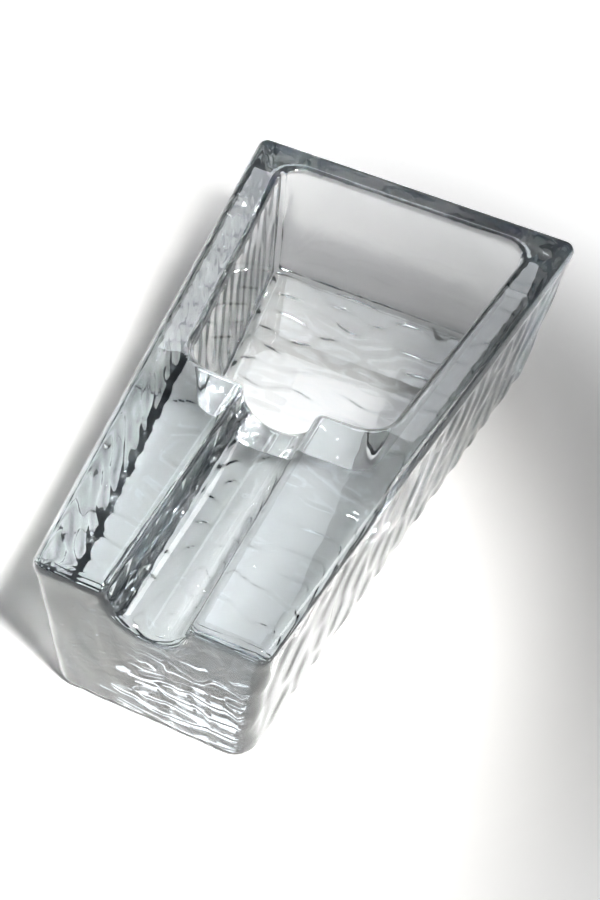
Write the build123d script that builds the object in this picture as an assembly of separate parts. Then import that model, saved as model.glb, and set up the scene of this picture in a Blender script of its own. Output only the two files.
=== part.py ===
from build123d import *
import os
from math import atan2, cos, radians, tan

# Cigar ashtray: one heavy block of pressed smoke-grey glass, wider at one end, with a deep
# well and a single round-bottomed cigar rest that runs from the well out of the narrow end.
# +Z is up and the base is at Z 0. The block is symmetric about X 0, with its narrow end at -Y.
# Outlines are given where flat faces would meet if their edges were not rounded.

# ---- driving dimensions: millimetres and degrees ----

# outer block at the height of its rim
LENGTH = 190.0
NARROW_WIDTH = 60.8
WIDE_WIDTH = 111.1
HEIGHT = 55.0

# how far each wall leans in towards the base
SIDE_DRAFT = 3.2
NARROW_DRAFT = 5.4
WIDE_DRAFT = 2.75

# roundings of the outer block
CORNER_RADIUS_RIM = 3.5
CORNER_RADIUS_BASE = 6.4
RIM_ROUND = 3.3
BASE_ROUND = 3.1

# well for the ash
SIDE_WALL = 11.9
WIDE_WALL = 11.9
LANDING = 80.0
LANDING_BOW = 1.2
FLOOR_THICKNESS = 14.6
WELL_DRAFT = 2.9
WELL_CORNER_WIDE = 6.8
WELL_CORNER_NARROW = 9.5
WELL_RIM_ROUND = 2.5
WELL_FLOOR_ROUND = 3.6

# cigar rest
REST_RADIUS = 10.4
REST_DEPTH = 12.6
REST_ROUND = 2.4

# ---- derived sizes ----
HALF_LENGTH = LENGTH / 2
FLARE = atan2((WIDE_WIDTH - NARROW_WIDTH) / 2, LENGTH)
WELL_DEPTH = HEIGHT - FLOOR_THICKNESS
OVERRUN = 15.0


def side_x(y, inset):
    """Half-width of the outer outline at y, moved in by inset square to the side."""
    return NARROW_WIDTH / 2 + (y + HALF_LENGTH) * tan(FLARE) - inset / cos(FLARE)


def outer_outline(z, corner_radius):
    """The block's plan outline at height z, with its four corners rounded."""
    drop = HEIGHT - z
    side_inset = drop * tan(radians(SIDE_DRAFT))
    y_narrow = -HALF_LENGTH + drop * tan(radians(NARROW_DRAFT))
    y_wide = HALF_LENGTH - drop * tan(radians(WIDE_DRAFT))
    x_narrow = side_x(y_narrow, side_inset)
    x_wide = side_x(y_wide, side_inset)
    corners = [(-x_narrow, y_narrow), (x_narrow, y_narrow), (x_wide, y_wide), (-x_wide, y_wide)]
    outline = make_face(Polyline(*corners, close=True))
    return Pos(0, 0, z) * fillet(outline.vertices(), corner_radius)


def outer_block():
    """The solid block, its rim and base edges rounded."""
    base = outer_outline(0, CORNER_RADIUS_BASE)
    rim = outer_outline(HEIGHT, CORNER_RADIUS_RIM)
    block = loft([base, rim], ruled=True)
    faces = block.faces().sort_by(Axis.Z)
    block = fillet(faces[-1].edges(), RIM_ROUND)
    return fillet(block.faces().sort_by(Axis.Z)[0].edges(), BASE_ROUND)


def well_cutter():
    """The well's space: its narrow end bows out a little, and its walls lean in to the floor."""
    y_narrow = -HALF_LENGTH + LANDING
    y_wide = HALF_LENGTH - WIDE_WALL
    x_narrow = side_x(y_narrow, SIDE_WALL)
    x_wide = side_x(y_wide, SIDE_WALL)
    bowed_end = ThreePointArc((-x_narrow, y_narrow), (0, y_narrow - LANDING_BOW), (x_narrow, y_narrow))
    straight_walls = Polyline((x_narrow, y_narrow), (x_wide, y_wide), (-x_wide, y_wide), (-x_narrow, y_narrow))
    outline = make_face(bowed_end + straight_walls)
    outline = fillet(outline.vertices().sort_by(Axis.Y)[-2:], WELL_CORNER_WIDE)
    outline = fillet(outline.vertices().sort_by(Axis.Y)[:2], WELL_CORNER_NARROW)
    space = extrude(Pos(0, 0, HEIGHT) * outline, -WELL_DEPTH, taper=WELL_DRAFT)
    return fillet(space.faces().sort_by(Axis.Z)[0].edges(), WELL_FLOOR_ROUND)


def rest_cutter():
    """The cigar rest's space: a half-round channel with upright sides, open at both ends."""
    y_start = -HALF_LENGTH - OVERRUN
    y_end = -HALF_LENGTH + LANDING + OVERRUN
    run = y_end - y_start
    axis_height = HEIGHT - REST_DEPTH + REST_RADIUS
    along_y = Rot(90, 0, 0)
    middle = Pos(0, (y_start + y_end) / 2, axis_height)
    round_bottom = middle * along_y * Cylinder(REST_RADIUS, run)
    upright = middle * Box(2 * REST_RADIUS, run, OVERRUN, align=(Align.CENTER, Align.CENTER, Align.MIN))
    return round_bottom + upright


def glass_body():
    """The finished piece, centred on its own box with its base at Z 0."""
    body = outer_block() - well_cutter()
    rim_face = body.faces().sort_by(Axis.Z)[-1]
    body = fillet(rim_face.inner_wires()[0].edges(), WELL_RIM_ROUND)
    cutter = rest_cutter()
    grooved = body - cutter
    rest_edges = new_edges(body, cutter, combined=grooved)
    finished = fillet(rest_edges, REST_ROUND)
    box = finished.bounding_box()
    return Pos(-box.center().X, -box.center().Y, -box.min.Z) * finished


os.makedirs("parts", exist_ok=True)
part = glass_body()
export_step(part, "parts/glass_body.step")
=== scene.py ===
from math import atan2, cos, pi, radians, sin, tan
import bpy
import numpy as np
from mathutils import Matrix, Vector


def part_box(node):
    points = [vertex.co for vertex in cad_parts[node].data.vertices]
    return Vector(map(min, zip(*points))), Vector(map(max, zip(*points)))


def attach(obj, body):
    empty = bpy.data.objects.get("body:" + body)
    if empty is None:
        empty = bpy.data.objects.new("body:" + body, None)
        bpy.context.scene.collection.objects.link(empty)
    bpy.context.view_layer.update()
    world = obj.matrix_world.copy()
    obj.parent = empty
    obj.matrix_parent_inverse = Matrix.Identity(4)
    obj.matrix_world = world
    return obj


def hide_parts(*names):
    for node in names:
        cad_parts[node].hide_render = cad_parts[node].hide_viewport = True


# Cigar ashtray: one heavy block of pressed smoke-grey glass. Its rim, well and cigar rest are
# polished smooth, and its outer walls and underside are pressed with a shallow ripple.

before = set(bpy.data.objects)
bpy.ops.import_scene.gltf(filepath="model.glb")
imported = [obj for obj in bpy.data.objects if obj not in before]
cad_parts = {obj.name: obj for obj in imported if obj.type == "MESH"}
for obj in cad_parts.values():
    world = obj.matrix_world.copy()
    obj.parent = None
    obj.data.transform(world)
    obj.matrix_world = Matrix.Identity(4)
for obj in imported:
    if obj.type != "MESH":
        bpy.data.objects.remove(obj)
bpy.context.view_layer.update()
MM = 0.001

# ---- the block's dimensions, in metres and radians, as in the CAD part ----
low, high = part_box("glass_body")
HEIGHT = high.z
NARROW_WIDTH = 60.8 * MM
WIDE_WIDTH = 111.1 * MM
SIDE_DRAFT = radians(3.2)
NARROW_DRAFT = radians(5.4)
WIDE_DRAFT = radians(2.75)
CORNER_RADIUS_RIM = 3.5 * MM
CORNER_RADIUS_BASE = 6.4 * MM
RIM_ROUND = 3.3 * MM
BASE_ROUND = 3.1 * MM
SIDE_WALL = 11.9 * MM
WIDE_WALL = 11.9 * MM
LANDING = 80.0 * MM
LANDING_BOW = 1.2 * MM
FLOOR_THICKNESS = 14.6 * MM
WELL_DRAFT = radians(2.9)
WELL_CORNER_WIDE = 6.8 * MM
WELL_CORNER_NARROW = 9.5 * MM
WELL_RIM_ROUND = 2.5 * MM
WELL_FLOOR_ROUND = 3.6 * MM
REST_RADIUS = 10.4 * MM
REST_DEPTH = 12.6 * MM
REST_ROUND = 2.4 * MM


def set_back(draft):
    """How far the rim's rounding pulls a leaning wall in from its sharp outline."""
    return RIM_ROUND * (tan(draft) + 1 / cos(draft) - 1)


Y_NARROW = low.y - set_back(NARROW_DRAFT)
Y_WIDE = high.y + set_back(WIDE_DRAFT)
FLARE = atan2((WIDE_WIDTH - NARROW_WIDTH) / 2, Y_WIDE - Y_NARROW)

REST_OPENING_ROOM = 12.0 * MM  # how far past the landing the cigar rest still cuts the glass

# ---- the mesh's fineness ----
CELL = 0.92 * MM
GRID_MARGIN = 2.5 * CELL
SMOOTHING_ROUNDS = 6
SMOOTHING_SHARE = 0.5
LEAST_TURN = 0.05

# ---- pressed ripple ----
RIPPLE_DEPTH = 0.55 * MM
END_RIPPLE_DEPTH = 0.15 * MM
UNDERSIDE_RIPPLE_DEPTH = 0.5 * MM
RIPPLE_ACROSS = 9.5 * MM
RIPPLE_ALONG = 19.0 * MM
RIPPLE_FADE = 5.0 * MM
RIPPLE_WAVES = 14
RIPPLE_HEADING_SPREAD = 0.75
RIPPLE_STRETCH = (0.75, 1.3)
RIPPLE_FIRMNESS = 1.6
SKIN = 0.3 * CELL
NUDGE = 0.01 * MM

# ---- the glass ----
GLASS_IOR = 1.52
SMOKE_PER_METRE = 10.0
SMOKE_TINT = (0.0, 0.08, 0.13)
WAVINESS_SIZE = 14 * MM
WAVINESS_DEPTH = 0.03 * MM
HAZE_SIZE = 30 * MM
HAZE_ROUGHNESS = 0.015
HAZE_BAND = (0.4, 0.8)

# ---- the studio ----
FLOOR_HALF_WIDTH = 3.0
FLOOR_DROP = 0.2 * MM
FLOOR_SHADE = 0.8
# painted glow: light the floor gives off itself, strong far from the glass and fading to almost none
# near it, which paints shade around the glass
FLOOR_PAINTED_GLOW = 0.9
FLOOR_PAINTED_GLOW_NEAR = 0.03
FLOOR_PAINTED_GLOW_FROM = 0.22
FLOOR_PAINTED_GLOW_RAMP = 0.6
HORIZON_LIGHT = 0.8
ROOM_LIGHT = 0.03
HORIZON_HEIGHTS = (0.02, 0.12)
MOST_BOUNCES = 40
MOST_GLASS_BOUNCES = 32

# ---- the camera ----
CAMERA_AZIMUTH = radians(15.695)
CAMERA_ELEVATION = radians(46.451)
CAMERA_ROLL = radians(9.740)
CAMERA_DISTANCE = 372.62 * MM
CAMERA_RIGHT = 1.648 * MM
CAMERA_UP = -6.107 * MM
LENS = 51.28
SENSOR_WIDTH = 36


# ---- the shape, as signed distances ----
# Each region is a pair: how far every point lies outside it, and the direction straight out.

def pack(distance, x, y, z):
    """A region from its distance and the three parts of its outward direction."""
    return distance, np.stack(np.broadcast_arrays(x, y, z), -1) + 0.0 * distance[..., None]


def outside(region):
    """The region's complement."""
    return -region[0], -region[1]


def meet(first, second, radius):
    """Where two regions overlap, with the edge between them rounded to a radius."""
    a = first[0] + radius
    b = second[0] + radius
    cosine = (first[1] * second[1]).sum(-1)
    turn = np.maximum(1 - cosine ** 2, LEAST_TURN)
    share_a = (a - b * cosine) / turn
    share_b = (b - a * cosine) / turn
    rounded = (share_a > 0) & (share_b > 0)
    corner = np.sqrt(np.maximum(a * a + b * b - 2 * a * b * cosine, 0) / turn)
    distance = np.where(rounded, corner, np.maximum(a, b)) - radius
    blended = share_a[..., None] * first[1] + share_b[..., None] * second[1]
    nearer = np.where((a > b)[..., None], first[1], second[1])
    direction = np.where(rounded[..., None], blended, nearer)
    return distance, direction / np.linalg.norm(direction, axis=-1, keepdims=True)


def side_wall(x, y, drop, inset, draft):
    """Both flared sides, moved in by inset and leaning in by draft as they go down."""
    half_width = NARROW_WIDTH / 2 + (y - Y_NARROW) * tan(FLARE)
    in_plan = (np.abs(x) - half_width) * cos(FLARE) + inset
    distance = (in_plan + drop * tan(draft)) * cos(draft)
    return pack(distance, np.sign(x) * cos(FLARE) * cos(draft), -sin(FLARE) * cos(draft), -sin(draft))


def end_wall(y, drop, y_top, facing, draft):
    """A flat end across the block: facing is 1 at the wide end and -1 at the narrow end."""
    distance = (facing * (y - y_top) + drop * tan(draft)) * cos(draft)
    return pack(distance, 0.0, facing * cos(draft), -sin(draft))


def block(x, y, z):
    """The solid block without its well and cigar rest."""
    drop = HEIGHT - z
    corner = CORNER_RADIUS_RIM + (CORNER_RADIUS_BASE - CORNER_RADIUS_RIM) * drop / HEIGHT
    walls = side_wall(x, y, drop, 0.0, SIDE_DRAFT)
    walls = meet(walls, end_wall(y, drop, Y_NARROW, -1, NARROW_DRAFT), corner)
    walls = meet(walls, end_wall(y, drop, Y_WIDE, 1, WIDE_DRAFT), corner)
    topped = meet(walls, pack(-drop, 0.0, 0.0, 1.0), RIM_ROUND)
    return meet(topped, pack(-z, 0.0, 0.0, -1.0), BASE_ROUND)


def bowed_end(x, y, drop):
    """The well's end by the cigar rest, which bows out a little towards the narrow end."""
    y_edge = Y_NARROW + LANDING
    half_width = NARROW_WIDTH / 2 + LANDING * tan(FLARE) - SIDE_WALL / cos(FLARE)
    radius = (half_width ** 2 + LANDING_BOW ** 2) / (2 * LANDING_BOW)
    y_from = y - (y_edge - LANDING_BOW + radius)
    reach = np.hypot(x, y_from)
    distance = (reach - radius + drop * tan(WELL_DRAFT)) * cos(WELL_DRAFT)
    towards_x = x / reach * cos(WELL_DRAFT)
    towards_y = y_from / reach * cos(WELL_DRAFT)
    return pack(distance, towards_x, towards_y, -sin(WELL_DRAFT))


def well(x, y, z):
    """The well's empty space."""
    drop = HEIGHT - z
    taper = drop * tan(WELL_DRAFT)
    walls = meet(side_wall(x, y, drop, SIDE_WALL, WELL_DRAFT),
                 end_wall(y, drop, Y_WIDE - WIDE_WALL, 1, WELL_DRAFT), WELL_CORNER_WIDE - taper)
    walls = meet(walls, bowed_end(x, y, drop), WELL_CORNER_NARROW - taper)
    return meet(walls, pack(FLOOR_THICKNESS - z, 0.0, 0.0, -1.0), WELL_FLOOR_ROUND)


def cigar_rest(x, y, z):
    """The cigar rest's empty space: round below its axis, with upright sides above it."""
    below = np.minimum(z - (HEIGHT - REST_DEPTH + REST_RADIUS), 0.0)
    reach = np.maximum(np.hypot(x, below), 1e-9)
    return pack(reach - REST_RADIUS, x / reach, 0.0 * y, below / reach)


def glass(points):
    """The whole piece of glass, at each of many points."""
    x, y, z = points[..., 0], points[..., 1], points[..., 2]
    hollowed = meet(block(x, y, z), outside(well(x, y, z)), WELL_RIM_ROUND)
    by_the_rest = y < Y_NARROW + LANDING + REST_OPENING_ROOM
    grooved = meet(hollowed, outside(cigar_rest(x, y, z)), REST_ROUND)
    distance = np.where(by_the_rest, grooved[0], hollowed[0])
    return distance, np.where(by_the_rest[..., None], grooved[1], hollowed[1])


# ---- the mesh ----

def crossings(values, axis):
    """The grid edges along one axis where the surface passes, and how far along each it does."""
    count = values.shape[axis]
    start = values.take(range(count - 1), axis)
    end = values.take(range(1, count), axis)
    where = np.argwhere((start < 0) != (end < 0))
    a = start[tuple(where.T)]
    b = end[tuple(where.T)]
    return where, a / (a - b), a < 0


def surface_net(values, origin, step):
    """A closed mesh of quads around the negative values of a grid: one vertex in each grid cell
    that the surface passes through, and one quad around each grid edge that it crosses."""
    shape = np.array(values.shape)
    sums = np.zeros((values.size, 3))
    hits = np.zeros(values.size)
    quads = []
    for axis in range(3):
        where, share, starts_inside = crossings(values, axis)
        place = where.astype(float)
        place[:, axis] += share
        one, two = (axis + 1) % 3, (axis + 2) % 3
        around = []
        for back_one, back_two in ((0, 0), (1, 0), (1, 1), (0, 1)):
            cell = where.copy()
            cell[:, one] -= back_one
            cell[:, two] -= back_two
            index = np.ravel_multi_index(cell.T, shape)
            around.append(index)
            hits += np.bincount(index, minlength=values.size)
            for k in range(3):
                sums[:, k] += np.bincount(index, place[:, k], minlength=values.size)
        quad = np.stack(around, 1)
        quad[starts_inside] = quad[starts_inside][:, ::-1]
        quads.append(quad[:, ::-1])
    quads = np.concatenate(quads)
    used, compact = np.unique(quads, return_inverse=True)
    points = origin + step * sums[used] / hits[used][:, None]
    return points, compact.reshape(-1, 4)


def settle(points, rounds=4):
    """Moves points straight onto the glass surface, and gives the surface's direction there."""
    for _ in range(rounds):
        distance, direction = glass(points)
        points = points - distance[:, None] * direction
    return points, glass(points)[1]


def relax(points, quads):
    """Evens out the quads' sizes by moving each vertex along the surface towards its neighbours."""
    ends = np.concatenate([quads[:, [0, 1]], quads[:, [1, 2]], quads[:, [2, 3]], quads[:, [3, 0]]])
    count = np.bincount(ends[:, 0], minlength=len(points)).astype(float)
    for _ in range(SMOOTHING_ROUNDS):
        towards = points[ends[:, 1]]
        pulled = [np.bincount(ends[:, 0], towards[:, k], minlength=len(points)) for k in range(3)]
        middles = np.stack(pulled, 1) / count[:, None]
        points = (1 - SMOOTHING_SHARE) * points + SMOOTHING_SHARE * middles
        points = settle(points, 2)[0]
    return points


def glass_grid():
    """Distances on a regular grid around the block, and the grid's first corner."""
    origin = np.array(low) - GRID_MARGIN
    size = np.ceil((np.array(high) + GRID_MARGIN - origin) / CELL).astype(int) + 1
    axes = [origin[k] + CELL * np.arange(size[k]) for k in range(3)]
    values = np.empty(size)
    for i, x in enumerate(axes[0]):
        y, z = np.meshgrid(axes[1], axes[2], indexing="ij")
        values[i] = glass(np.stack([np.full_like(y, x), y, z], -1))[0]
    return values, origin


# ---- the ripple ----

def ramp(value):
    """Rises smoothly from 0 to 1 as value does."""
    value = np.clip(value, 0.0, 1.0)
    return value * value * (3 - 2 * value)


def swell(across, along, seed):
    """Irregular waves between -1 and 1: close together one way, and drawn out the other way."""
    dice = np.random.default_rng(seed)
    total = np.zeros_like(across)
    for _ in range(RIPPLE_WAVES):
        heading = dice.normal(0.0, RIPPLE_HEADING_SPREAD)
        stretch = dice.uniform(*RIPPLE_STRETCH)
        phase = dice.uniform(0.0, 2 * pi)
        turns = cos(heading) * across / RIPPLE_ACROSS + sin(heading) * along / RIPPLE_ALONG
        total += np.sin(2 * pi * stretch * turns + phase)
    return np.tanh(total * RIPPLE_FIRMNESS / np.sqrt(RIPPLE_WAVES))


def ripple(points, directions):
    """How deep the ripple is pressed in: on the outer walls and underside only, fading out
    below the rim and around the cigar rest's mouth."""
    x, y, z = points.T
    sides = np.where(x > 0, swell(y, z, 11), swell(y, z, 12))
    ends = np.where(y > 0, swell(x, z, 13), swell(x, z, 14))
    underside = swell(y, x, 15)
    facing = directions ** 2
    depth = facing[:, 0] * RIPPLE_DEPTH * (1 + sides)
    depth += facing[:, 1] * END_RIPPLE_DEPTH * (1 + ends)
    depth += facing[:, 2] * UNDERSIDE_RIPPLE_DEPTH * (1 + underside)
    below_rim = ramp((HEIGHT - z - RIM_ROUND) / RIPPLE_FADE)
    clear_of_rest = ramp((cigar_rest(x, y, z)[0] - REST_ROUND) / RIPPLE_FADE)
    on_outside = np.abs(block(x, y, z)[0]) < SKIN
    return depth / 2 * below_rim * clear_of_rest * on_outside


def press_ripple(points, directions):
    """Presses the ripple into the surface, and gives the new surface's directions."""
    depth = ripple(points, directions)
    slope = np.empty_like(points)
    for k in range(3):
        moved = points + NUDGE * np.eye(3)[k]
        slope[:, k] = (ripple(moved, glass(moved)[1]) - depth) / NUDGE
    slope -= (slope * directions).sum(1)[:, None] * directions
    tilted = directions + slope
    return points - depth[:, None] * directions, tilted / np.linalg.norm(tilted, axis=1)[:, None]


def new_piece(name, points, quads, normals, material):
    """A mesh object that rides on the block's body and stands for its CAD solid."""
    mesh = bpy.data.meshes.new(name)
    mesh.from_pydata(points.tolist(), [], quads.tolist())
    mesh.validate()
    mesh.polygons.foreach_set("use_smooth", [True] * len(mesh.polygons))
    mesh.normals_split_custom_set_from_vertices(normals.tolist())
    mesh.materials.append(material)
    piece = bpy.data.objects.new(name, mesh)
    bpy.context.scene.collection.objects.link(piece)
    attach(piece, "root")
    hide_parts("glass_body")
    return piece


def link(tree, source, target):
    """Joins two sockets of a node tree."""
    tree.links.new(source, target)


def smoke_glass():
    """Clear, evenly smoke-tinted glass with a faint pressed unevenness in its polish."""
    material = bpy.data.materials.new("smoke_glass")
    material.use_nodes = True
    tree = material.node_tree
    shader = tree.nodes["Principled BSDF"]
    shader.inputs["Base Color"].default_value = (1, 1, 1, 1)
    shader.inputs["IOR"].default_value = GLASS_IOR
    shader.inputs["Transmission Weight"].default_value = 1.0
    smoke = tree.nodes.new("ShaderNodeVolumeAbsorption")
    smoke.inputs["Color"].default_value = (*SMOKE_TINT, 1)
    smoke.inputs["Density"].default_value = SMOKE_PER_METRE
    link(tree, smoke.outputs["Volume"], tree.nodes["Material Output"].inputs["Volume"])
    place = tree.nodes.new("ShaderNodeTexCoord")
    waves = tree.nodes.new("ShaderNodeTexNoise")
    waves.inputs["Scale"].default_value = 1 / WAVINESS_SIZE
    waves.inputs["Detail"].default_value = 2.0
    link(tree, place.outputs["Object"], waves.inputs["Vector"])
    bump = tree.nodes.new("ShaderNodeBump")
    bump.inputs["Strength"].default_value = 1.0
    bump.inputs["Distance"].default_value = WAVINESS_DEPTH
    link(tree, waves.outputs["Fac"], bump.inputs["Height"])
    link(tree, bump.outputs["Normal"], shader.inputs["Normal"])
    haze = tree.nodes.new("ShaderNodeTexNoise")
    haze.inputs["Scale"].default_value = 1 / HAZE_SIZE
    haze.inputs["Detail"].default_value = 4.0
    link(tree, place.outputs["Object"], haze.inputs["Vector"])
    polish = tree.nodes.new("ShaderNodeMapRange")
    polish.inputs["From Min"].default_value = HAZE_BAND[0]
    polish.inputs["From Max"].default_value = HAZE_BAND[1]
    polish.inputs["To Min"].default_value = 0.0
    polish.inputs["To Max"].default_value = HAZE_ROUGHNESS
    link(tree, haze.outputs["Fac"], polish.inputs["Value"])
    link(tree, polish.outputs["Result"], shader.inputs["Roughness"])
    return material


def make_camera():
    """A camera in front of the narrow end, above it and a little to its right."""
    flat = cos(CAMERA_ELEVATION)
    back = Vector((sin(CAMERA_AZIMUTH) * flat, -cos(CAMERA_AZIMUTH) * flat, sin(CAMERA_ELEVATION)))
    level = Vector((0, 0, 1)).cross(back).normalized()
    upright = back.cross(level)
    right = cos(CAMERA_ROLL) * level + sin(CAMERA_ROLL) * upright
    up = cos(CAMERA_ROLL) * upright - sin(CAMERA_ROLL) * level
    middle = Vector((0, 0, HEIGHT / 2))
    place = middle + right * CAMERA_RIGHT + up * CAMERA_UP + back * CAMERA_DISTANCE
    camera = bpy.data.objects.new("camera", bpy.data.cameras.new("camera"))
    camera.data.sensor_width = SENSOR_WIDTH
    camera.data.lens = LENS
    camera.data.clip_start = 0.01
    turn = Matrix((right, up, back)).transposed().to_4x4()
    camera.matrix_world = Matrix.Translation(place) @ turn
    bpy.context.scene.collection.objects.link(camera)
    bpy.context.scene.camera = camera


def make_floor():
    """A pale floor that the lamps light near the glass. Farther out a painted glow, light the floor
    gives off itself, keeps it white, and the glow fades towards the glass, which paints shade on the
    floor around it.
    """
    half = FLOOR_HALF_WIDTH
    corners = [(-half, -half, 0), (half, -half, 0), (half, half, 0), (-half, half, 0)]
    mesh = bpy.data.meshes.new("floor")
    mesh.from_pydata(corners, [], [(0, 1, 2, 3)])
    floor = bpy.data.objects.new("floor", mesh)
    material = bpy.data.materials.new("floor")
    material.use_nodes = True
    tree = material.node_tree
    shader = tree.nodes["Principled BSDF"]
    shader.inputs["Base Color"].default_value = (FLOOR_SHADE, FLOOR_SHADE, FLOOR_SHADE, 1)
    shader.inputs["Roughness"].default_value = 1.0
    shader.inputs["Specular IOR Level"].default_value = 0.0
    # painted glow: the floor's own light, which fades out around the glass and so paints shade there
    shader.inputs["Emission Color"].default_value = (1, 1, 1, 1)
    place = tree.nodes.new("ShaderNodeTexCoord")
    spread = tree.nodes.new("ShaderNodeMapping")
    spread.vector_type = "TEXTURE"
    spread.inputs["Scale"].default_value = (FLOOR_PAINTED_GLOW_FROM, FLOOR_PAINTED_GLOW_FROM, 1)
    painted_shade_pool = tree.nodes.new("ShaderNodeTexGradient")
    painted_shade_pool.gradient_type = "SPHERICAL"
    painted_glow = tree.nodes.new("ShaderNodeMapRange")
    painted_glow.interpolation_type = "SMOOTHSTEP"
    painted_glow.inputs["From Min"].default_value = 0.0
    painted_glow.inputs["From Max"].default_value = FLOOR_PAINTED_GLOW_RAMP
    painted_glow.inputs["To Min"].default_value = FLOOR_PAINTED_GLOW
    painted_glow.inputs["To Max"].default_value = FLOOR_PAINTED_GLOW_NEAR
    link(tree, place.outputs["Object"], spread.inputs["Vector"])
    link(tree, spread.outputs["Vector"], painted_shade_pool.inputs["Vector"])
    link(tree, painted_shade_pool.outputs["Fac"], painted_glow.inputs["Value"])
    link(tree, painted_glow.outputs["Result"], shader.inputs["Emission Strength"])
    mesh.materials.append(material)
    floor.location.z = -FLOOR_DROP
    bpy.context.scene.collection.objects.link(floor)


def make_world():
    """Dim surroundings above a pale horizon."""
    world = bpy.data.worlds.new("studio")
    world.use_nodes = True
    tree = world.node_tree
    direction = tree.nodes.new("ShaderNodeTexCoord")
    split = tree.nodes.new("ShaderNodeSeparateXYZ")
    fade = tree.nodes.new("ShaderNodeMapRange")
    fade.interpolation_type = "SMOOTHSTEP"
    fade.inputs["From Min"].default_value = HORIZON_HEIGHTS[0]
    fade.inputs["From Max"].default_value = HORIZON_HEIGHTS[1]
    fade.inputs["To Min"].default_value = HORIZON_LIGHT
    fade.inputs["To Max"].default_value = ROOM_LIGHT
    link(tree, direction.outputs["Generated"], split.inputs["Vector"])
    link(tree, split.outputs["Z"], fade.inputs["Value"])
    link(tree, fade.outputs["Result"], tree.nodes["Background"].inputs["Strength"])
    tree.nodes["Background"].inputs["Color"].default_value = (1, 1, 1, 1)
    bpy.context.scene.world = world


def soft_light(name, place, aim, width, height, radiance, colour, spread=180):
    """A rectangular softbox facing a point, giving the same brightness all over its face."""
    light = bpy.data.lights.new(name, "AREA")
    light.shape = "RECTANGLE"
    light.size = width
    light.size_y = height
    light.energy = pi * width * height * radiance
    light.color = colour
    light.spread = radians(spread)
    lamp = bpy.data.objects.new(name, light)
    back = (Vector(place) - Vector(aim)).normalized()
    level = Vector((0, 0, 1)).cross(back).normalized()
    turn = Matrix((level, back.cross(level), back)).transposed().to_4x4()
    lamp.matrix_world = Matrix.Translation(place) @ turn
    lamp.visible_camera = False
    bpy.context.scene.collection.objects.link(lamp)


def make_lights():
    """A warm key in front and to the right, a weak one behind and to the right, and two cool
    softboxes behind and to the left, which whiten the flat tops."""
    soft_light("key", place=(0.17, -0.18, 0.42), aim=(-0.07, -0.05, 0), width=0.09, height=0.09,
               radiance=21.0, colour=(1, 0.985, 0.955), spread=42)
    soft_light("side", place=(0.62, 0.39, 0.42), aim=(0, 0, 0.03), width=0.3, height=0.24,
               radiance=5.0, colour=(1, 0.985, 0.96))
    soft_light("rear_low", place=(-0.165, 0.6, 0.55), aim=(-0.165, 0, 0.1), width=0.33, height=0.18,
               radiance=3.6, colour=(0.93, 0.97, 1))
    soft_light("rear_high", place=(-0.185, 0.6, 0.9), aim=(-0.185, 0, 0.1), width=0.11, height=0.5,
               radiance=2.4, colour=(0.93, 0.97, 1))


def trace_glass_fully():
    """Lets light through the glass at full strength, however often it bends or bounces."""
    scene = bpy.context.scene
    scene.cycles.sample_clamp_indirect = 0
    scene.cycles.max_bounces = MOST_BOUNCES
    scene.cycles.glossy_bounces = MOST_GLASS_BOUNCES
    scene.cycles.transmission_bounces = MOST_GLASS_BOUNCES


values, origin = glass_grid()
points, quads = surface_net(values, origin, CELL)
points = relax(settle(points)[0], quads)
points, normals = press_ripple(*settle(points))
new_piece("glass_body_surface", points, quads, normals, smoke_glass())
make_floor()
make_world()
make_camera()
make_lights()
trace_glass_fully()
bpy.context.scene.view_settings.view_transform = "Standard"
